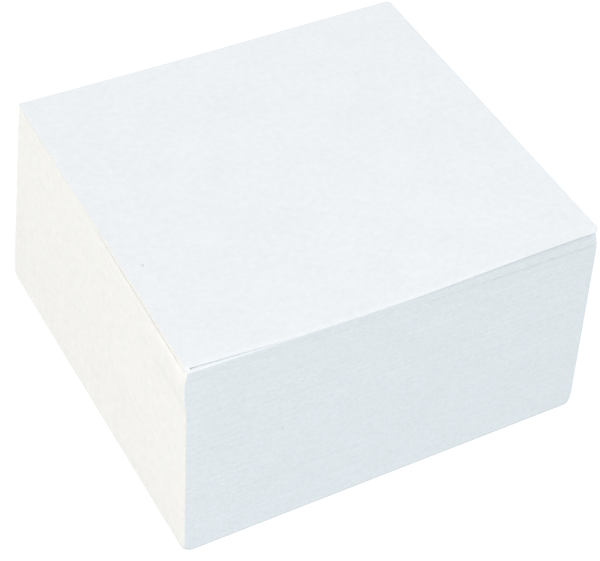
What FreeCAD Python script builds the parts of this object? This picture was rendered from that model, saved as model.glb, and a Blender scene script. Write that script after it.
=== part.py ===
import FreeCAD, Part
import math
import os

# A white memo cube: a stack of square note sheets held along its left side by a thin film of
# padding glue. Millimetres. The origin is the centre of the bottom sheet and +Z is up. The front,
# -Y, shows the cut edges of the sheets, and the glued side is -X.

# The stack. Its height is measured where the top sheet lies flat, behind its two rising corners.
sheet_side = 90.0
stack_height = 40.0
sheet_thickness = 0.1

# The stack has slid and turned a little: these carry the bottom sheet's place to the top one's.
lean_right = 6.2
lean_back = 6.35
turn_at_top = -1.53

# The vertical corners, rounded by handling: front left, front right, back right, back left.
# Over the lowest stretch they are bruised, the front left one most of all, and their rounding
# grows down to that of the bottom sheet. The top sheet has corners of its own.
stack_corner_rounds = [0.2, 0.8, 1.0, 0.6]
bottom_corner_rounds = [2.0, 1.8, 1.2, 1.6]
top_sheet_corner_rounds = [1.0, 1.6, 1.2, 0.4]
bruise_height = 3.0

# The sheets at the top rise towards their left and right edges, over these widths, and most of
# all at the front. Between the two rises a strip of each sheet lies flat on the one below.
left_rise_width = 25.0
right_rise_width = 60.0

# The solid stack below the loose layers, and then each layer with its number of sheets. A rise is
# how far a layer's corner lifts: front left, front right, back right, back left. At the front left
# the whole pile is a little swollen, so there the stack itself rises almost as far as the loose
# layers, and the top sheet lifts clear of them.
stack_rises = [0.85, 0.70, 0.22, 0.05]
loose_layers = [
    (3, [0.88, 0.74, 0.24, 0.06]),
    (5, [0.90, 1.10, 0.26, 0.07]),
    (5, [0.93, 1.55, 0.28, 0.08]),
    (5, [0.96, 2.10, 0.30, 0.09]),
]
top_sheet_rises = [1.42, 2.40, 0.32, 0.10]
parting_gap = 0.05

# The film of padding glue stops a little short of the bottom sheet and of the topmost ones.
glue_thickness = 0.2
glue_bottom = 0.3
glue_top = 39.5

half = sheet_side / 2.0
overhang = 5.0
up = FreeCAD.Vector(0, 0, 1)


def in_stack(x, y, z):
    """A point of a sheet, carried to its place in the leaning and turning stack."""
    share = z / stack_height
    angle = math.radians(turn_at_top)
    turned_x = x * math.cos(angle) - y * math.sin(angle)
    turned_y = x * math.sin(angle) + y * math.cos(angle)
    placed_x = x + share * (turned_x - x + lean_right)
    placed_y = y + share * (turned_y - y + lean_back)
    return FreeCAD.Vector(placed_x, placed_y, z)


def sheet_outline(z, rounds):
    """A sheet's outline at height z: four straight edges joined by four rounded corners."""
    arcs = []
    for (sign_x, sign_y), radius in zip([(-1, -1), (1, -1), (1, 1), (-1, 1)], rounds):
        inset = radius * (1.0 - math.sqrt(0.5))
        x = sign_x * half
        y = sign_y * half
        on_side = in_stack(x, y - sign_y * radius, z)
        on_end = in_stack(x - sign_x * radius, y, z)
        middle = in_stack(x - sign_x * inset, y - sign_y * inset, z)
        if sign_x * sign_y > 0:
            arcs.append((on_side, middle, on_end))
        else:
            arcs.append((on_end, middle, on_side))
    edges = []
    for index, arc in enumerate(arcs):
        edges.append(Part.Arc(*arc).toShape())
        edges.append(Part.LineSegment(arc[2], arcs[(index + 1) % 4][0]).toShape())
    return Part.Wire(edges)


def rounds_at(z, rounds):
    """The radii of the rounded corners at height z, with the bruises near the bottom."""
    low = max(0.0, 1.0 - z / bruise_height) ** 2
    return [radius + (bruised - radius) * low for radius, bruised in zip(rounds, bottom_corner_rounds)]


def leaning_column(rounds):
    """The leaning, turning column that the edges of the sheets make, taller than the stack."""
    heights = [0.0, bruise_height / 3.0, bruise_height, stack_height + overhang]
    outlines = [sheet_outline(z, rounds_at(z, rounds)) for z in heights]
    return Part.makeLoft(outlines, True, True)


def left_rise(share):
    """The shape of the rise at the left, from 0 where it starts to 1 at the sheet's edge."""
    return share ** 1.5


def right_rise(share):
    """The shape of the rise at the right: it starts and ends level."""
    return math.sin(min(share, 1.0) * math.pi / 2.0) ** 2


def rise_curve(start_x, direction, width, shape, rise, y, level):
    """The curve of a rising part of a sheet at one y, from where it starts to beyond its edge."""
    length = width + overhang
    steps = 8
    points = []
    for step in range(steps + 1):
        out = length * step / steps
        height = level + rise * shape(out / width)
        points.append(FreeCAD.Vector(start_x + direction * out, y, height))
    curve = Part.BSplineCurve()
    curve.interpolate(points)
    return curve


def layer_section(y, bottom, gap, left, right, top):
    """A layer's section at one y. Its underside parts from the layer below where it rises."""
    left_start = -half + left_rise_width
    right_start = half - right_rise_width
    top_left = rise_curve(left_start, -1, left_rise_width, left_rise, left, y, top)
    top_right = rise_curve(right_start, 1, right_rise_width, right_rise, right, y, top)
    low_left_rise = left if gap else 0.0
    low_right_rise = right if gap else 0.0
    parted = bottom + gap
    low_left = rise_curve(left_start, -1, left_rise_width, left_rise, low_left_rise, y, parted)
    low_right = rise_curve(right_start, 1, right_rise_width, right_rise, low_right_rise, y, parted)

    def line(start, end):
        return Part.LineSegment(start, end).toShape()

    flat_left = FreeCAD.Vector(left_start, y, bottom)
    flat_right = FreeCAD.Vector(right_start, y, bottom)
    edges = []
    low_left.reverse()
    edges.append(low_left.toShape())
    if gap:
        edges.append(line(low_left.EndPoint, flat_left))
    edges.append(line(flat_left, flat_right))
    if gap:
        edges.append(line(flat_right, low_right.StartPoint))
    edges.append(low_right.toShape())
    edges.append(line(low_right.EndPoint, top_right.EndPoint))
    top_right.reverse()
    edges.append(top_right.toShape())
    edges.append(line(top_right.EndPoint, top_left.StartPoint))
    edges.append(top_left.toShape())
    edges.append(line(top_left.EndPoint, low_left.StartPoint))
    return Part.Wire(edges)


def layer(bottom, gap, rises, top):
    """A layer of sheets with its rising corners, larger than a sheet, placed at the stack's top."""
    front_left, front_right, back_right, back_left = rises
    beyond = overhang / sheet_side
    sections = []
    for y, share in ((-half - overhang, -beyond), (half + overhang, 1.0 + beyond)):
        left = front_left + share * (back_left - front_left)
        right = front_right + share * (back_right - front_right)
        sections.append(layer_section(y, bottom, gap, left, right, top))
    solid = Part.makeLoft(sections, True, True)
    solid.Placement = FreeCAD.Placement(
        FreeCAD.Vector(lean_right, lean_back, 0), FreeCAD.Rotation(up, turn_at_top)
    )
    return solid


def paper_block():
    """All the sheets as one solid. The layers at the top part from each other at the corners."""
    thicknesses = [sheets * sheet_thickness + parting_gap for sheets, rises in loose_layers]
    level = stack_height - sheet_thickness - parting_gap - sum(thicknesses)
    body = layer(-overhang, 0.0, stack_rises, level)
    for thickness, (sheets, rises) in zip(thicknesses, loose_layers):
        body = body.fuse(layer(level, parting_gap, rises, level + thickness))
        level += thickness
    body = body.common(leaning_column(stack_corner_rounds))
    top_sheet = layer(level, parting_gap, top_sheet_rises, stack_height)
    top_sheet = top_sheet.common(leaning_column(top_sheet_corner_rounds))
    return body.fuse(top_sheet).removeSplitter()


def glue_edge():
    """The thin film of padding glue over the sheets' left edges, between the rounded corners."""
    sections = []
    for z in (glue_bottom, bruise_height / 3.0, bruise_height, glue_top):
        front_left, _, _, back_left = rounds_at(z, stack_corner_rounds)
        front = -half + front_left
        back = half - back_left
        corners = [
            in_stack(-half, front, z),
            in_stack(-half, back, z),
            in_stack(-half - glue_thickness, back, z),
            in_stack(-half - glue_thickness, front, z),
        ]
        sections.append(Part.makePolygon(corners + corners[:1]))
    return Part.makeLoft(sections, True, True)


os.makedirs("parts", exist_ok=True)
for name, shape in (("paper_block", paper_block()), ("glue_edge", glue_edge())):
    solid = shape.Solids[0]
    print(name, "solids", len(shape.Solids), "valid", solid.isValid(), "volume", solid.Volume)
    solid.exportStep("parts/" + name + ".step")
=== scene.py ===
import math

import bmesh
import bpy
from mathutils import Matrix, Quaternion, Vector
from mathutils import noise as smooth_noise


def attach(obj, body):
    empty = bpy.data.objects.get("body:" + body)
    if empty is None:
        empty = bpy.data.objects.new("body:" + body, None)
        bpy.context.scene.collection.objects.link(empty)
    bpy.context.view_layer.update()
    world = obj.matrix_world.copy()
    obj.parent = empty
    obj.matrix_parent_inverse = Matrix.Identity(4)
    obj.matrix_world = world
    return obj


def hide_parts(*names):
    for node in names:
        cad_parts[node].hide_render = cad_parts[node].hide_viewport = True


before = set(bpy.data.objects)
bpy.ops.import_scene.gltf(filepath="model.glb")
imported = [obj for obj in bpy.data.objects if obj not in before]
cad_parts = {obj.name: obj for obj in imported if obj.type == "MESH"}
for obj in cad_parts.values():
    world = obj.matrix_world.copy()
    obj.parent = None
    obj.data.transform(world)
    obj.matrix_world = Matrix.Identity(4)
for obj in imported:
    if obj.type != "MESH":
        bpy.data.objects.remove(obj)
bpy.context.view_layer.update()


# ---- The block of cut sheets ------------------------------------------------------------------
# Four hundred square sheets of writing paper, pressed together, cut on a guillotine and padded
# along the left side. The pile has slid a little, so every sheet lies further right and further
# back than the one below. Handling has rounded its corners, most of all near the table.

mm = 0.001
sheet_side = 90.0 * mm
half_side = sheet_side / 2.0
sheet_thickness = 0.1 * mm
stack_height = 40.0 * mm
lean_right = 6.2 * mm
lean_back = 6.35 * mm
turn_at_top = math.radians(-1.53)
front_swell = 0.45 * mm
level_place = 0.55
left_swell = 0.60 * mm
left_swell_ends = (-25.0 * mm, 17.0 * mm)
left_rise_width = 25.0 * mm
right_rise_width = 60.0 * mm
left_rise_ends = (0.30, 0.72)
slip_start = (-44.65 * mm, -44.1 * mm)
left_bulge = 0.38 * mm
bulge_fall = (0.0, 0.3)
bulge_start = (31.0 * mm, 34.5 * mm)
bulge_end = (37.9 * mm, 39.8 * mm)
bruise_height = 3.0 * mm

# Lists of four go round the corners: front left, front right, back right and back left.
block_sheets = 381
block_height = 38.0 * mm
block_rounds = [0.05 * mm, 0.8 * mm, 1.0 * mm, 0.6 * mm]
bottom_rounds = [2.0 * mm, 1.8 * mm, 1.2 * mm, 1.6 * mm]
block_rises = [0.00 * mm, 0.45 * mm, 0.25 * mm, 0.05 * mm]


class Number:
    """A number in a node tree. Adding, multiplying and so on make the nodes that work it out."""

    def __init__(self, tree, socket):
        self.tree = tree
        self.socket = socket

    def __add__(self, other):
        return maths(self.tree, "ADD", self, other)

    def __sub__(self, other):
        return maths(self.tree, "SUBTRACT", self, other)

    def __rsub__(self, other):
        return maths(self.tree, "SUBTRACT", other, self)

    def __mul__(self, other):
        return maths(self.tree, "MULTIPLY", self, other)

    def __truediv__(self, other):
        return maths(self.tree, "DIVIDE", self, other)

    def __pow__(self, other):
        return maths(self.tree, "POWER", self, other)

    def __gt__(self, other):
        return maths(self.tree, "GREATER_THAN", self, other)

    __radd__ = __add__
    __rmul__ = __mul__


def add_node(tree, kind, inputs=None, **settings):
    """A node with its settings made and its inputs, by name or number, set or linked."""
    node = tree.nodes.new(kind)
    for name, value in settings.items():
        setattr(node, name, value)
    for name, value in (inputs or {}).items():
        if isinstance(value, Number):
            tree.links.new(value.socket, node.inputs[name])
        elif isinstance(value, bpy.types.NodeSocket):
            tree.links.new(value, node.inputs[name])
        else:
            node.inputs[name].default_value = value
    return node


def maths(tree, operation, *values):
    """The result of one sum, which may be of numbers in the tree and plain ones."""
    node = add_node(tree, "ShaderNodeMath", dict(enumerate(values)), operation=operation)
    return Number(tree, node.outputs[0])


def between(value, low, high):
    """0 below low and 1 above high, with a straight run from one to the other."""
    share = (value - low) / (high - low)
    return maths(value.tree, "MINIMUM", maths(value.tree, "MAXIMUM", share, 0.0), 1.0)


def eased(value, low, high):
    """As between, but it starts and ends level."""
    share = between(value, low, high)
    return share * share * (3.0 - 2.0 * share)


def axes_of(tree, vector):
    """The three numbers of a vector."""
    node = add_node(tree, "ShaderNodeSeparateXYZ", {0: vector})
    return [Number(tree, output) for output in node.outputs]


def vector_of(tree, x, y, z):
    """The vector of three numbers."""
    return add_node(tree, "ShaderNodeCombineXYZ", {0: x, 1: y, 2: z}).outputs[0]


def noise_at(x, y, z, detail=2.0):
    """Smooth noise, from about -1 to 1, at a place given in the noise's own cells."""
    tree = z.tree
    node = add_node(
        tree,
        "ShaderNodeTexNoise",
        {"Vector": vector_of(tree, x, y, z), "Scale": 1.0, "Detail": detail},
    )
    return (Number(tree, node.outputs["Fac"]) - 0.5) * 2.0


def mottle(x, y, z, cell, detail=2.0):
    """The same noise, in cells of this width, depth and height."""
    width, depth, height = cell
    return noise_at(x / width, y / depth, z / height, detail)


def place_in_pile(tree):
    """Where a point lies on its sheet, and how high the sheet lies in the pile before any rise."""
    return axes_of(tree, add_node(tree, "ShaderNodeAttribute", attribute_name="in_pile").outputs[1])


roughness_spread = 0.04
matt_specular = 0.3


def finish_of(name, colour, roughness, shade, grain, relief):
    """A matt material: its colour times a shade, and a bump of this relief from a grain.

    The colour is a plain one or a function of the place, like the shade and the grain.
    """
    material = bpy.data.materials.new(name)
    material.use_nodes = True
    tree = material.node_tree
    shader = tree.nodes["Principled BSDF"]
    x, y, z = place_in_pile(tree)
    plain = colour(x, y, z) if callable(colour) else colour
    tinted = add_node(
        tree, "ShaderNodeVectorMath", {0: plain, "Scale": shade(x, y, z)}, operation="SCALE"
    )
    tree.links.new(tinted.outputs[0], shader.inputs["Base Color"])
    uneven = grain(x, y, z)
    rough = roughness + uneven * roughness_spread
    tree.links.new(rough.socket, shader.inputs["Roughness"])
    bump = add_node(
        tree, "ShaderNodeBump", {"Height": uneven, "Distance": relief, "Strength": 1.0}
    )
    tree.links.new(bump.outputs[0], shader.inputs["Normal"])
    shader.inputs["Specular IOR Level"].default_value = matt_specular
    return material


def speck(across, along, wide, high, darkness):
    """The darkening of one speck, in the plane of the two numbers given."""
    away = (across / wide) ** 2.0 + (along / high) ** 2.0
    return (1.0 - between(away, 0.0, 1.0)) * darkness


paper_white = (0.855, 0.888, 0.913)
paper_roughness = 0.88
face_relief = 0.004 * mm
fleck_cell = (0.45 * mm, 0.45 * mm, 0.45 * mm)
tuft_cell = (1.6 * mm, 1.6 * mm, 1.6 * mm)
fibre_share = 0.6
fibre_contrast = 0.075
face_cloud_cell = (9.0 * mm, 9.0 * mm, 9.0 * mm)
face_cloud_contrast = 0.026


def fibres(x, y, z):
    """The felted fibres of uncoated paper: fine flecks and wider tufts."""
    return (mottle(x, y, z, fleck_cell) + mottle(x, y, z, tuft_cell)) * fibre_share


def paper_shade(x, y, z):
    """The shade of a sheet's face, which is a little cloudy too."""
    clouds = mottle(x, y, z, face_cloud_cell)
    return 1.0 + fibres(x, y, z) * fibre_contrast + clouds * face_cloud_contrast


# The cut edges. A speck is how far right and up it lies, its half width and its darkness.
# The cut edges' white is the paper's white with a bluer cast, a painted cool tint for the cooler
# light on the shaded sides.
cut_white_cool_shade_tint = (0.826, 0.889, 0.926)
cut_relief = 0.006 * mm
line_cell = (14.0 * mm, 14.0 * mm, 0.11 * mm)
band_cell = (32.0 * mm, 32.0 * mm, 0.5 * mm)
streak_contrast = 0.030
cut_cloud_cell = (11.0 * mm, 11.0 * mm, 7.0 * mm)
cut_cloud_contrast = 0.017
cut_fleck_cell = (0.8 * mm, 0.8 * mm, 0.6 * mm)
cut_fleck_contrast = 0.065
burr_cell = (0.4 * mm, 0.4 * mm, 0.2 * mm)
burr_share = 0.6
# The painted contact shade at the foot of the block: the heights it fades over, and its darkness at
# the table.
contact_shade_ends = (0.15 * mm, 0.45 * mm)
contact_shade_darkness = 0.10
soaked_white = (0.89, 0.865, 0.805)
soaked_depth = 0.06 * mm
soaked_start = (-44.6 * mm, -44.2 * mm)
cut_specks = [
    (20.5 * mm, 20.8 * mm, 0.45 * mm, 0.10),
    (58.1 * mm, 4.2 * mm, 0.45 * mm, 0.09),
    (54.3 * mm, 2.3 * mm, 0.45 * mm, 0.10),
    (45.8 * mm, 5.3 * mm, 0.40 * mm, 0.07),
]


def cut_streaks(x, y, z):
    """The edges of the sheets side by side: fine lines of single sheets and softer bands."""
    return (mottle(x, y, z, line_cell, 0.0) + mottle(x, y, z, band_cell)) / 2.0


def painted_contact_shade(z):
    """Painted shade on the lowest sheets, darkest at the table, where the block stands on it."""
    return (1.0 - between(z, *contact_shade_ends)) * contact_shade_darkness


def cut_shade(x, y, z):
    """The shade of the cut edges, with the specks that only the front has."""
    streaks = cut_streaks(x, y, z) * streak_contrast
    clouds = mottle(x, y, z, cut_cloud_cell) * cut_cloud_contrast
    flecks = mottle(x, y, z, cut_fleck_cell) * cut_fleck_contrast
    # The lowest sheets are darkened with painted shade where the block meets the table.
    shade = 1.0 + streaks + clouds + flecks - painted_contact_shade(z)
    in_front = 1.0 - (y > 0.0)
    for right, above, wide, darkness in cut_specks:
        spot = speck(x - (right - half_side), z - above, wide, wide, darkness)
        shade = shade - spot * in_front
    return shade


def cut_colour(x, y, z):
    """White with a painted cool shade tint, and yellowed where the glue has soaked into the edges
    on the left.
    """
    soaked = between(y, *soaked_start) * (1.0 - (x > soaked_depth - half_side))
    channels = [white + soaked * (glued - white) for white, glued in zip(cut_white_cool_shade_tint, soaked_white)]
    return vector_of(x.tree, *channels)


def cut_grain(x, y, z):
    """The relief of the cut edges: the sheets' lines, and the fine burr that the blade leaves."""
    return cut_streaks(x, y, z) + mottle(x, y, z, burr_cell) * burr_share


face_paper = finish_of(
    "face_paper", paper_white, paper_roughness, paper_shade, fibres, face_relief
)
cut_paper = finish_of("cut_paper", cut_colour, paper_roughness, cut_shade, cut_grain, cut_relief)

# Three rows of points go up each sheet's edge: one in the seam below it and two that stand out.
edge_rows_per_sheet = 3.0
seam_share = 0.12
seam_depth = 0.015 * mm
face_reach = 0.96
corner_reach = 3.0 * mm
drift_heights = (2.2 * mm, 1.7 * mm)
drift_strength = 1.6
turn_strength = 0.5
ripple_cell = (38.0 * mm, 38.0 * mm, 9.0 * mm)
ripple_foot = 4.0 * mm
face_upward = 0.9
block_power = 1.5
corner_words = ["Front Left", "Front Right", "Back Right", "Back Left"]
tree_inputs = {
    "Sheets": ("NodeSocketInt", 1),
    "Thickness": ("NodeSocketFloat", sheet_thickness),
    "Level": ("NodeSocketFloat", 0.0),
    "Corner Steps": ("NodeSocketInt", 8),
    "Side Cuts": ("NodeSocketInt", 17),
    "Face Rings": ("NodeSocketInt", 6),
    "Rise Depth": ("NodeSocketFloat", 1.0),
    "Left Power": ("NodeSocketFloat", block_power),
    "Left Draw Back": ("NodeSocketFloat", 0.0),
    "Right Draw Back": ("NodeSocketFloat", 0.0),
    "Slip Right": ("NodeSocketFloat", 0.0),
    "Thickening": ("NodeSocketFloat", 0.0),
    "Edge Scatter": ("NodeSocketFloat", 0.009 * mm),
    "Ripple": ("NodeSocketFloat", 0.05 * mm),
    "Seed": ("NodeSocketInt", 4),
    "Face Paper": ("NodeSocketMaterial", face_paper),
    "Edge Paper": ("NodeSocketMaterial", cut_paper),
}
for word, rounding in zip(corner_words, bottom_rounds):
    tree_inputs[word + " Round"] = ("NodeSocketFloat", 1.0 * mm)
    tree_inputs[word + " Bottom Round"] = ("NodeSocketFloat", rounding)
    tree_inputs[word + " Rise"] = ("NodeSocketFloat", 0.0)


def sheets_tree():
    """The tree that makes a pile of sheets as one closed shell, every sheet's edge standing out."""
    tree = bpy.data.node_groups.new("sheets", "GeometryNodeTree")
    tree.interface.new_socket("Geometry", in_out="OUTPUT", socket_type="NodeSocketGeometry")
    for name, (kind, value) in tree_inputs.items():
        tree.interface.new_socket(name, in_out="INPUT", socket_type=kind).default_value = value
    given = add_node(tree, "NodeGroupInput").outputs
    size = {name: Number(tree, given[name]) for name in tree_inputs}

    def of_corner(measure, x, y):
        """This measure of the corner in whose quarter of the sheet a point lies."""
        to_right, to_back = x > 0.0, y > 0.0
        left_ones = size["Front Left " + measure] * (1.0 - to_back)
        left_ones = left_ones + size["Back Left " + measure] * to_back
        right_ones = size["Front Right " + measure] * (1.0 - to_back)
        right_ones = right_ones + size["Back Right " + measure] * to_back
        return left_ones * (1.0 - to_right) + right_ones * to_right

    # The outline of one sheet: a square with rounded corners and evenly divided sides.
    square = add_node(
        tree, "GeometryNodeCurvePrimitiveQuadrilateral", {"Width": sheet_side, "Height": sheet_side}
    )
    here = add_node(tree, "GeometryNodeInputPosition").outputs[0]
    corner_x, corner_y, _ = axes_of(tree, here)
    rounded = add_node(
        tree,
        "GeometryNodeFilletCurve",
        {
            "Curve": square.outputs[0],
            "Count": size["Corner Steps"],
            "Radius": of_corner("Round", corner_x, corner_y),
        },
        mode="POLY",
    )
    place = Number(tree, add_node(tree, "GeometryNodeInputIndex").outputs[0])
    step = maths(tree, "MODULO", place + 1.0, size["Corner Steps"] + 1.0)
    last_of_corner = 1.0 - (step > 0.5)
    divided = add_node(
        tree,
        "GeometryNodeSubdivideCurve",
        {"Curve": rounded.outputs[0], "Cuts": last_of_corner * size["Side Cuts"]},
    )
    outline = add_node(tree, "GeometryNodeCaptureAttribute", {"Geometry": divided.outputs[0]})
    outline.capture_items.new("VECTOR", "Outline")
    tree.links.new(here, outline.inputs[1])

    # The rows of the shell: across the lowest face, up the edges, and back across the top face.
    rings = size["Face Rings"]
    edge_rows = size["Sheets"] * edge_rows_per_sheet
    line = add_node(tree, "GeometryNodeCurvePrimitiveLine", {"End": (0.0, 0.0, 1.0)})
    rows = add_node(
        tree,
        "GeometryNodeResampleCurve",
        {"Curve": line.outputs[0], "Count": rings * 2.0 + edge_rows + 1.0},
    )
    counted = add_node(tree, "GeometryNodeCaptureAttribute", {"Geometry": rows.outputs[0]})
    counted.capture_items.new("FLOAT", "Row")
    tree.links.new(place.socket, counted.inputs[1])
    shell = add_node(
        tree,
        "GeometryNodeCurveToMesh",
        {0: counted.outputs[0], "Profile Curve": outline.outputs[0], "Fill Caps": True},
    )

    # Where a row is: which sheet, how far across a face, and whether it is the seam of two sheets.
    row = Number(tree, counted.outputs[1])
    edge_row = maths(tree, "MINIMUM", maths(tree, "MAXIMUM", row - rings, 0.0), edge_rows)
    inward = maths(tree, "ABSOLUTE", row - rings - edge_row) / rings
    sheet = maths(tree, "FLOOR", (edge_row + 0.5) / edge_rows_per_sheet)
    step = edge_row - sheet * edge_rows_per_sheet
    is_seam = 1.0 - (step > 0.5)
    in_sheet = (step > 0.5) * seam_share + (step > 1.5) * (1.0 - 2.0 * seam_share)
    z = size["Level"] + (sheet + in_sheet) * size["Thickness"]

    # The outline at this row. Near the table the corners round off further.
    x, y, _ = axes_of(tree, outline.outputs[1])
    off_x = x - maths(tree, "SIGN", x) * half_side
    off_y = y - maths(tree, "SIGN", y) * half_side
    off = maths(tree, "ABSOLUTE", off_x) + maths(tree, "ABSOLUTE", off_y)
    low = 1.0 - between(z, 0.0, bruise_height)
    growth = of_corner("Bottom Round", x, y) / of_corner("Round", x, y) - 1.0
    grown = (1.0 - (off > corner_reach)) * low * low * growth
    shrink = 1.0 - inward * face_reach - is_seam * (seam_depth / half_side)
    x = (x + off_x * grown) * shrink
    y = (y + off_y * grown) * shrink

    # No sheet lies quite true on the last: each is a little off, in slow drifts and at random.
    scatter = size["Edge Scatter"]
    random = add_node(
        tree,
        "FunctionNodeRandomValue",
        {0: (-1.0, -1.0, -1.0), 1: (1.0, 1.0, 1.0), "ID": sheet, "Seed": size["Seed"]},
        data_type="FLOAT_VECTOR",
    )
    off_right, off_back, off_turn = axes_of(tree, random.outputs[0])
    drift_right = noise_at(0.0, 3.0, z / drift_heights[0]) * drift_strength
    drift_back = noise_at(7.0, 31.0, z / drift_heights[1]) * drift_strength
    turn = off_turn * (turn_strength / half_side)
    scattered_x = x + (off_right + drift_right + turn * y) * scatter
    scattered_y = y + (off_back + drift_back - turn * x) * scatter
    x, y = scattered_x, scattered_y

    # The rises towards the left and right edges, which fade down the stack.
    back_share = (y + half_side) / sheet_side
    left_fall = eased(back_share, *left_rise_ends)
    left = size["Front Left Rise"] * (1.0 - left_fall) + size["Back Left Rise"] * left_fall
    front_right = size["Front Right Rise"] + size["Thickening"] * (sheet + in_sheet)
    right = front_right * (1.0 - back_share) + size["Back Right Rise"] * back_share
    left_share = between(-1.0 * x, half_side - left_rise_width, half_side)
    right_share = between(x, half_side - right_rise_width, half_side)
    right_wave = maths(tree, "SINE", right_share * (math.pi / 2.0))
    top = size["Level"] + size["Sheets"] * size["Thickness"]
    fade = between(z, top - size["Rise Depth"], top)
    left_rise = left * left_share ** size["Left Power"] * fade * fade
    right_rise = right * right_wave * right_wave * fade * fade
    ripple = mottle(x, y, z, ripple_cell) * size["Ripple"] * between(z, 0.0, ripple_foot)
    share = z / stack_height
    swollen_left = left_swell * (1.0 - back_share) * (1.0 - eased(x, *left_swell_ends))
    swell = ((level_place - back_share) * front_swell + swollen_left) * share
    height = z + left_rise + right_rise + swell + ripple

    # Where a sheet rises, it is also drawn back from the front and from the right. On the left the
    # loose sheets have slipped a little to the right, and the pile bulges to the left below them.
    right_draw = right_rise * size["Right Draw Back"]
    left_draw = left_rise * size["Left Draw Back"]
    slip = size["Slip Right"] * left_share * (1.0 - left_fall ** 2.0) * between(y, *slip_start)
    bulge = (eased(z, *bulge_start) - eased(z, *bulge_end)) * (left_bulge * left_share)
    drawn_x = x - right_draw * right_share + slip - bulge * (1.0 - eased(back_share, *bulge_fall))
    drawn_y = y + (left_draw + right_draw) * (1.0 - back_share)

    # The lean and the turn of the whole stack.
    turned_x = drawn_x * math.cos(turn_at_top) - drawn_y * math.sin(turn_at_top)
    turned_y = drawn_x * math.sin(turn_at_top) + drawn_y * math.cos(turn_at_top)
    placed = vector_of(
        tree,
        drawn_x + share * (turned_x - drawn_x + lean_right),
        drawn_y + share * (turned_y - drawn_y + lean_back),
        height,
    )
    noted = add_node(
        tree,
        "GeometryNodeStoreNamedAttribute",
        {"Geometry": shell.outputs[0], "Name": "in_pile", "Value": vector_of(tree, x, y, z)},
        data_type="FLOAT_VECTOR",
    )
    moved = add_node(
        tree, "GeometryNodeSetPosition", {"Geometry": noted.outputs[0], "Position": placed}
    )
    real = add_node(tree, "GeometryNodeRealizeInstances", {"Geometry": moved.outputs[0]})
    edges = add_node(
        tree,
        "GeometryNodeSetMaterial",
        {"Geometry": real.outputs[0], "Material": given["Edge Paper"]},
    )
    _, _, upward = axes_of(tree, add_node(tree, "GeometryNodeInputNormal").outputs[0])
    faces = add_node(
        tree,
        "GeometryNodeSetMaterial",
        {
            "Geometry": edges.outputs[0],
            "Selection": maths(tree, "ABSOLUTE", upward) > face_upward,
            "Material": given["Face Paper"],
        },
    )
    tree.links.new(faces.outputs[0], add_node(tree, "NodeGroupOutput").inputs[0])
    return tree


pile_of_sheets = sheets_tree()


def sheets_mesh(rounds, rises, values):
    """A pile of sheets as a plain mesh, from the tree's inputs that differ from their defaults."""
    values = dict(values)
    for word, rounding, rise in zip(corner_words, rounds, rises):
        values[word + " Round"] = rounding
        values[word + " Rise"] = rise
    carrier = bpy.data.objects.new("carrier", bpy.data.meshes.new("carrier"))
    bpy.context.scene.collection.objects.link(carrier)
    modifier = carrier.modifiers.new("sheets", "NODES")
    modifier.node_group = pile_of_sheets
    for item in pile_of_sheets.interface.items_tree:
        if item.name in values:
            modifier[item.identifier] = values[item.name]
    found = carrier.evaluated_get(bpy.context.evaluated_depsgraph_get())
    mesh = bpy.data.meshes.new_from_object(found)
    bpy.data.objects.remove(carrier)
    return mesh


sharp_angle = math.radians(30.0)


def add_piece(name, mesh):
    """A piece of the object with this mesh: smooth on its faces and sharp at its edges."""
    mesh.name = name
    mesh.polygons.foreach_set("use_smooth", [True] * len(mesh.polygons))
    mesh.set_sharp_from_angle(angle=sharp_angle)
    piece = bpy.data.objects.new(name, mesh)
    bpy.context.scene.collection.objects.link(piece)
    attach(piece, "root")
    return piece


rise_depth = 12.0 * mm
block_mesh = sheets_mesh(
    block_rounds,
    block_rises,
    {
        "Sheets": block_sheets,
        "Thickness": block_height / block_sheets,
        "Rise Depth": rise_depth,
        "Side Cuts": 8,
    },
)
add_piece("cut_sheets", block_mesh)
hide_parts("paper_block")


# ---- The loose sheets -------------------------------------------------------------------------
# The uppermost sheets have been leafed through, so they lie in four layers a little apart, which
# fan up at the front right corner. They are the same paper, still held by the glue on the left.

parting_gap = 0.02 * mm
layer_sizes = [3, 5, 5, 5]
layer_rises = [
    [0.02 * mm, 0.48 * mm, 0.27 * mm, 0.06 * mm],
    [0.04 * mm, 0.65 * mm, 0.29 * mm, 0.07 * mm],
    [0.06 * mm, 1.10 * mm, 0.31 * mm, 0.08 * mm],
    [0.08 * mm, 1.58 * mm, 0.33 * mm, 0.09 * mm],
]
uppermost_rises = [0.10 * mm, 2.09 * mm, 0.34 * mm, 0.10 * mm]
uppermost_power = 3.0
uppermost_rounds = [0.5 * mm, 1.5 * mm, 1.9 * mm, 1.1 * mm]
right_draw_back = 0.22
loose_slip = 0.11 * mm
filled_share = 0.95


def blend(first, last, share):
    """The list of numbers that lies this share of the way from the first to the last."""
    return [low + (high - low) * share for low, high in zip(first, last)]


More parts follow.
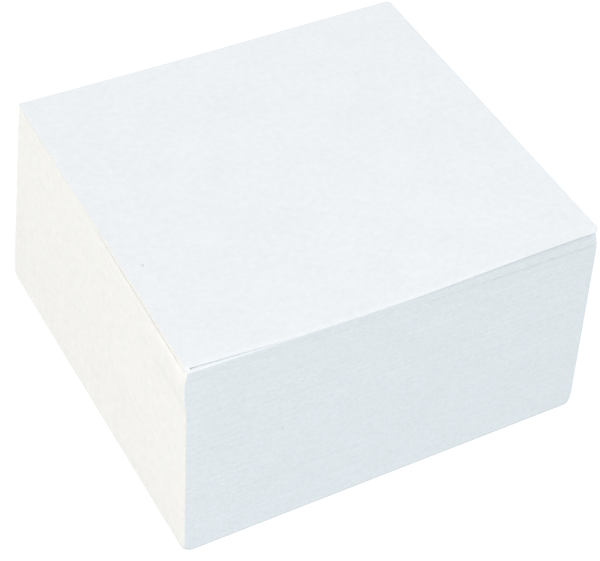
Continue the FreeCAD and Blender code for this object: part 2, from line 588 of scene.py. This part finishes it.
def loose_mesh():
    """All the loose sheets, each one closed, joined in one mesh."""
    joined = bmesh.new()
    level = block_height + parting_gap
    count = sum(layer_sizes)
    number = 0
    for layer, size in enumerate(layer_sizes):
        rises = layer_rises[layer]
        above = (layer_rises + [uppermost_rises])[layer + 1] if layer > 0 else rises
        for turn in range(size):
            share = number / (count - 1)
            sheet = sheets_mesh(
                blend(block_rounds, uppermost_rounds, math.sqrt(share)),
                blend(rises, above, turn / size),
                {
                    "Level": level + turn * sheet_thickness,
                    "Left Power": block_power + (uppermost_power - block_power) * share,
                    "Right Draw Back": right_draw_back * share,
                    "Slip Right": loose_slip * min(2.0 * share, 1.0),
                    "Thickening": filled_share * (above[1] - rises[1]) / size,
                    "Seed": number,
                },
            )
            joined.from_mesh(sheet)
            if number == 0:
                materials = list(sheet.materials)
            bpy.data.meshes.remove(sheet)
            number += 1
        level += size * sheet_thickness + parting_gap
    mesh = bpy.data.meshes.new("loose_sheets")
    joined.to_mesh(mesh)
    joined.free()
    for material in materials:
        mesh.materials.append(material)
    return mesh


add_piece("loose_sheets", loose_mesh())


# ---- The top sheet ----------------------------------------------------------------------------
# The top sheet is the same paper. Handling has curled it up at both front corners, higher at the
# right one. At the left one it is also drawn back, so that a little of the sheet below shows. Its
# face has picked up four small specks.

top_level = stack_height - sheet_thickness
top_corner_rounds = [1.0 * mm, 1.6 * mm, 1.2 * mm, 0.4 * mm]
top_rises = [0.44 * mm, 2.15 * mm, 0.40 * mm, 0.10 * mm]
top_slip = 0.16 * mm
top_left_power = 1.15
top_draw_back = 2.15
top_seed = 40

# A speck is how far right and back it lies, its half width, its half depth and its darkness.
top_specks = [
    (3.9 * mm, 30.2 * mm, 0.42 * mm, 0.70 * mm, 0.20),
    (18.9 * mm, 83.1 * mm, 0.40 * mm, 0.40 * mm, 0.09),
    (65.7 * mm, 79.8 * mm, 0.35 * mm, 0.35 * mm, 0.07),
    (80.9 * mm, 27.8 * mm, 0.35 * mm, 0.35 * mm, 0.07),
]


def top_shade(x, y, z):
    """The shade of the top sheet, with the specks that only its upper face has."""
    shade = paper_shade(x, y, z)
    is_upper = z > top_level + sheet_thickness / 2.0
    for right, behind, wide, deep, darkness in top_specks:
        spot = speck(x - (right - half_side), y - (behind - half_side), wide, deep, darkness)
        shade = shade - spot * is_upper
    return shade


top_paper = finish_of("top_paper", paper_white, paper_roughness, top_shade, fibres, face_relief)
top_mesh = sheets_mesh(
    top_corner_rounds,
    top_rises,
    {
        "Level": top_level,
        "Side Cuts": 23,
        "Face Rings": 30,
        "Left Power": top_left_power,
        "Left Draw Back": top_draw_back,
        "Slip Right": top_slip,
        "Ripple": 0.08 * mm,
        "Seed": top_seed,
        "Face Paper": top_paper,
    },
)
add_piece("top_sheet", top_mesh)


# ---- The glued edge ---------------------------------------------------------------------------
# The left side is padded with white glue, brushed over the edges of the sheets in a thin film. It
# dries matt and a little yellow, and the edges show through it faintly. Leafing has cracked it
# along the top at the front, where the top sheet has kept a narrow strip of it.

film_bottom = 0.12 * mm
film_top = 39.86 * mm
film_thickness = 0.05 * mm
film_inside = 0.03 * mm
film_bare_share = 0.3
film_columns = 90
film_rows = 90
lump_cell = (6.0 * mm, 4.0 * mm)
lump_place = 11.0
lump_height = 0.02 * mm
crack_opening = 0.33 * mm
crack_drop = 0.15 * mm
crack_start = (0.4 * mm, 0.9 * mm)
crack_end = (0.60, 0.70)
crack_thinning = 0.6
strip_top = stack_height - 0.02 * mm
strip_least = 0.10 * mm
strip_more = 0.53 * mm
strip_corner_share = 0.2
strip_corner_angle = math.radians(85.0)
strip_corner_more = 1.8
strip_columns = 60
strip_rows = 6


def spread(count):
    """Shares from 0 to 1, closer together at both ends."""
    return [0.5 - 0.5 * math.cos(math.pi * step / count) for step in range(count + 1)]


def share_of(value, low, high):
    """0 below low and 1 above high, with a straight run from one to the other."""
    return min(max((value - low) / (high - low), 0.0), 1.0)


def eased_share(value, low, high):
    """As share_of, but it starts and ends level."""
    share = share_of(value, low, high)
    return share * share * (3.0 - 2.0 * share)


def front_hold(y):
    """1 along the front part of the left side, and 0 along the back part."""
    return 1.0 - eased_share((y + half_side) / sheet_side, *left_rise_ends)


def leaned(x, y, z, rise):
    """A point of the pile once the pile leans and turns, this much higher than it was."""
    share = z / stack_height
    back_share = 0.5 + y / sheet_side
    swell = (level_place - back_share) * front_swell + (1.0 - back_share) * left_swell
    turned_x = x * math.cos(turn_at_top) - y * math.sin(turn_at_top)
    turned_y = x * math.sin(turn_at_top) + y * math.cos(turn_at_top)
    return (
        x + share * (turned_x - x + lean_right),
        y + share * (turned_y - y + lean_back),
        z + rise + swell * share,
    )


def bulge_at(y, z):
    """How far the pile bulges to the left, high up by its front corner."""
    bulge = eased_share(z, *bulge_start) - eased_share(z, *bulge_end)
    return left_bulge * bulge * (1.0 - eased_share((y + half_side) / sheet_side, *bulge_fall))


def unevenness(y, z):
    """How much thicker or thinner the brush has left the film at a place."""
    across, high = lump_cell
    return smooth_noise.noise(Vector((y / across, z / high, lump_place))) * lump_height


def film_rounds(z, loose):
    """The rounding of the pile's front and back corners on the left, at a height."""
    low = 1.0 - share_of(z, 0.0, bruise_height)
    rounds = blend(block_rounds, bottom_rounds, low * low)
    front, _, _, back = blend(rounds, uppermost_rounds, math.sqrt(loose))
    return front, back


def set_in_by(rounding, from_corner):
    """How far a rounded corner brings the side in, this far from where it would be sharp."""
    into = max(0.0, 1.0 - from_corner / rounding)
    return rounding * (1.0 - math.sqrt(1.0 - into ** 2))


def film_point(along, up, is_outer):
    """A point of the film, from its shares of the way to the back and to the top.

    Along the front part the uppermost edge of the film has dropped a little and opens the crack.
    """
    z = film_bottom + (film_top - film_bottom) * up
    loose = share_of(z, block_height, film_top)
    front_round, back_round = film_rounds(z, loose)
    first = -half_side + film_bare_share * front_round
    last = half_side - film_bare_share * back_round
    y = first + (last - first) * along
    set_in = set_in_by(front_round, y + half_side) + set_in_by(back_round, half_side - y)
    hold = front_hold(y)
    thinned = 1.0 - crack_thinning * loose * hold
    proud = (film_thickness + unevenness(y, z)) * thinned
    x = set_in - half_side + (-proud if is_outer else film_inside * thinned)
    fade = share_of(z, block_height - rise_depth, block_height)
    front, _, _, back = blend(block_rises, uppermost_rises, loose)
    rise = (front * hold + back * (1.0 - hold)) * fade * fade
    opening = crack_opening * (1.0 - share_of((y + half_side) / sheet_side, *crack_end))
    drop = (crack_drop * hold + opening) * share_of(y + half_side, *crack_start) * loose
    x -= bulge_at(y, z - drop)
    return leaned(x, y, z, rise - drop), (x, y, z)


def strip_point(along, up, is_outer):
    """A point of the narrow strip that the lifted left edge of the top sheet has kept.

    It begins a little way round the front corner and ends where the edge is no longer lifted.
    """
    rounding = top_corner_rounds[0]
    first = -half_side + rounding
    last = left_rise_ends[1] * sheet_side - half_side
    y = first + (last - first) * share_of(along, strip_corner_share, 1.0)
    to_front = 1.0 - share_of(along, 0.0, strip_corner_share)
    bearing = strip_corner_angle * to_front
    hold = front_hold(y)
    proud = film_thickness + unevenness(y, 0.0) if is_outer else -film_inside
    x = first + top_slip * hold - (rounding + proud) * math.cos(bearing)
    y = y - (rounding + proud) * math.sin(bearing)
    bulge = 1.0 + strip_corner_more * to_front * (1.0 - to_front)
    below = (strip_least + strip_more * hold * bulge) * (1.0 - up)
    rise = top_rises[0] * hold + top_rises[3] * (1.0 - hold)
    rise *= (1.0 - (x + half_side) / left_rise_width) ** top_left_power
    drawn_y = y + rise * top_draw_back * (0.5 - y / sheet_side)
    return leaned(x, drawn_y, strip_top - below, rise), (x, y, strip_top - below)


def add_slab(mesh, point_at, columns, rows):
    """A closed slab between the outer and the inner points of a thin thing."""
    in_pile = mesh.verts.layers.float_vector["in_pile"]
    points = {}
    for is_outer in (False, True):
        for column, along in enumerate(spread(columns)):
            for row, up in enumerate(spread(rows)):
                place, noted = point_at(along, up, is_outer)
                points[column, row, is_outer] = mesh.verts.new(place)
                points[column, row, is_outer][in_pile] = noted
        for column in range(columns):
            for row in range(rows):
                turns = [(0, 0), (1, 0), (1, 1), (0, 1)]
                corners = [points[column + right, row + up, is_outer] for right, up in turns]
                mesh.faces.new(corners[::-1] if is_outer else corners)
    rim = [(column, 0) for column in range(columns)]
    rim += [(columns, row) for row in range(rows)]
    rim += [(column, rows) for column in range(columns, 0, -1)]
    rim += [(0, row) for row in range(rows, 0, -1)]
    for this, after in zip(rim, rim[1:] + rim[:1]):
        around = [this + (True,), after + (True,), after + (False,), this + (False,)]
        mesh.faces.new([points[key] for key in around])


def film_mesh():
    """The film over the pile and the strip on the top sheet, as one mesh."""
    slabs = bmesh.new()
    slabs.verts.layers.float_vector.new("in_pile")
    add_slab(slabs, film_point, film_columns, film_rows)
    add_slab(slabs, strip_point, strip_columns, strip_rows)
    mesh = bpy.data.meshes.new("glue_film")
    slabs.to_mesh(mesh)
    slabs.free()
    return mesh


glue_white = (0.911, 0.905, 0.870)
glue_roughness = 0.60
glue_relief = 0.010 * mm
dab_cell = (1.4 * mm, 1.8 * mm, 1.2 * mm)
seen_line_cell = (20.0 * mm, 20.0 * mm, 0.16 * mm)
seen_line_share = 0.35
glue_contrast = 0.065
glue_cloud_cell = (10.0 * mm, 10.0 * mm, 10.0 * mm)
glue_cloud_contrast = 0.012
glue_speck = (19.3 * mm, 27.8 * mm, 0.40 * mm, 0.06)


def brushed_glue(x, y, z):
    """The dabs of the brush, with the sheets below showing through as faint lines."""
    lines = mottle(x, y, z, seen_line_cell, 0.0)
    return mottle(x, y, z, dab_cell) + lines * seen_line_share


def glue_shade(x, y, z):
    """The shade of the film, with its one speck."""
    clouds = mottle(x, y, z, glue_cloud_cell) * glue_cloud_contrast
    # The foot of the film is darkened with painted shade where the block meets the table.
    shade = 1.0 + brushed_glue(x, y, z) * glue_contrast + clouds - painted_contact_shade(z)
    behind, above, wide, darkness = glue_speck
    return shade - speck(y - (behind - half_side), z - above, wide, wide, darkness)


film = film_mesh()
film.materials.append(
    finish_of("padding_glue", glue_white, glue_roughness, glue_shade, brushed_glue, glue_relief)
)
add_piece("glue_film", film)
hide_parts("glue_edge")


# ---- The table, the lamps and the camera ------------------------------------------------------
# The block stands on a plain white table in a light room, between two large soft lamps. From
# below the table can be looked through, and where the block stands on it light comes through,
# so that the underside of the block shows.

table_half = 3.0
table_level = -0.02 * mm
touching_reach = 0.05 * mm

# The table throws back half of the light that falls on it, but is seen as almost white.
table_light = 0.5
seen_light = 0.9
seen_glow = 0.35


def stage_tree(owner):
    """The emptied node tree of a material or a world, and the outputs of its Light Path node."""
    owner.use_nodes = True
    tree = owner.node_tree
    tree.nodes.clear()
    return tree, add_node(tree, "ShaderNodeLightPath").outputs


table_material = bpy.data.materials.new("table_white")
tree, path = stage_tree(table_material)
matt = add_node(tree, "ShaderNodeBsdfDiffuse", {"Color": (table_light,) * 3 + (1.0,)})
bright = add_node(tree, "ShaderNodeBsdfDiffuse", {"Color": (seen_light,) * 3 + (1.0,)})
glow = add_node(tree, "ShaderNodeEmission", {"Strength": seen_glow})
lit = add_node(tree, "ShaderNodeAddShader", {0: bright.outputs[0], 1: glow.outputs[0]})
upper = add_node(
    tree, "ShaderNodeMixShader", {0: path["Is Camera Ray"], 1: matt.outputs[0], 2: lit.outputs[0]}
)
from_below = Number(tree, add_node(tree, "ShaderNodeNewGeometry").outputs["Backfacing"])
from_afar = Number(tree, path["Ray Length"]) > touching_reach
opaque = from_afar * (1.0 - from_below)
clear = add_node(tree, "ShaderNodeBsdfTransparent").outputs[0]
surface = add_node(tree, "ShaderNodeMixShader", {0: opaque, 1: clear, 2: upper.outputs[0]})
add_node(tree, "ShaderNodeOutputMaterial", {"Surface": surface.outputs[0]})

table_mesh = bpy.data.meshes.new("table")
ends = [(-1, -1), (1, -1), (1, 1), (-1, 1)]
corners = [(x * table_half, y * table_half, table_level) for x, y in ends]
table_mesh.from_pydata(corners, [], [(0, 1, 2, 3)])
table_mesh.materials.append(table_material)
table = bpy.data.objects.new("table", table_mesh)
bpy.context.scene.collection.objects.link(table)

room_light = 0.55
world = bpy.data.worlds.new("room")
tree, path = stage_tree(world)
strength = Number(tree, path["Is Camera Ray"]) * (1.0 - room_light) + room_light
sky = add_node(tree, "ShaderNodeBackground", {"Color": (1.0,) * 4, "Strength": strength})
add_node(tree, "ShaderNodeOutputWorld", {"Surface": sky.outputs[0]})
bpy.context.scene.world = world


lamp_distance = 2.0
lamp_side = 1.4


def add_lamp(name, light):
    """A square lamp. Its light points towards it and is as long as a white face there is bright."""
    strength = Vector(light).length
    lamp = bpy.data.lights.new(name, "AREA")
    lamp.size = lamp_side
    lamp.energy = strength * (math.pi * lamp_distance) ** 2
    lamp_object = bpy.data.objects.new(name, lamp)
    lamp_object.location = Vector(light).normalized() * lamp_distance
    lamp_object.rotation_mode = "QUATERNION"
    lamp_object.rotation_quaternion = Vector(light).to_track_quat("Z", "Y")
    bpy.context.scene.collection.objects.link(lamp_object)


add_lamp("left_lamp", (-0.527, -0.14, 0.277))
add_lamp("right_lamp", (0.38, -0.17, 0.257))

aim = Vector((1.96, -3.12, 18.07)) * mm
azimuth = math.radians(-28.434)
elevation = math.radians(43.241)
roll = math.radians(1.291)
camera_distance = 421.05 * mm
camera_lens = 119.81
backward = Vector(
    (
        math.sin(azimuth) * math.cos(elevation),
        -math.cos(azimuth) * math.cos(elevation),
        math.sin(elevation),
    )
)
camera = bpy.data.objects.new("camera", bpy.data.cameras.new("camera"))
camera.data.lens = camera_lens
camera.location = aim + backward * camera_distance
camera.rotation_mode = "QUATERNION"
camera.rotation_quaternion = backward.to_track_quat("Z", "Y") @ Quaternion((0.0, 0.0, 1.0), roll)
bpy.context.scene.collection.objects.link(camera)
bpy.context.scene.camera = camera
bpy.context.scene.view_settings.view_transform = "Standard"
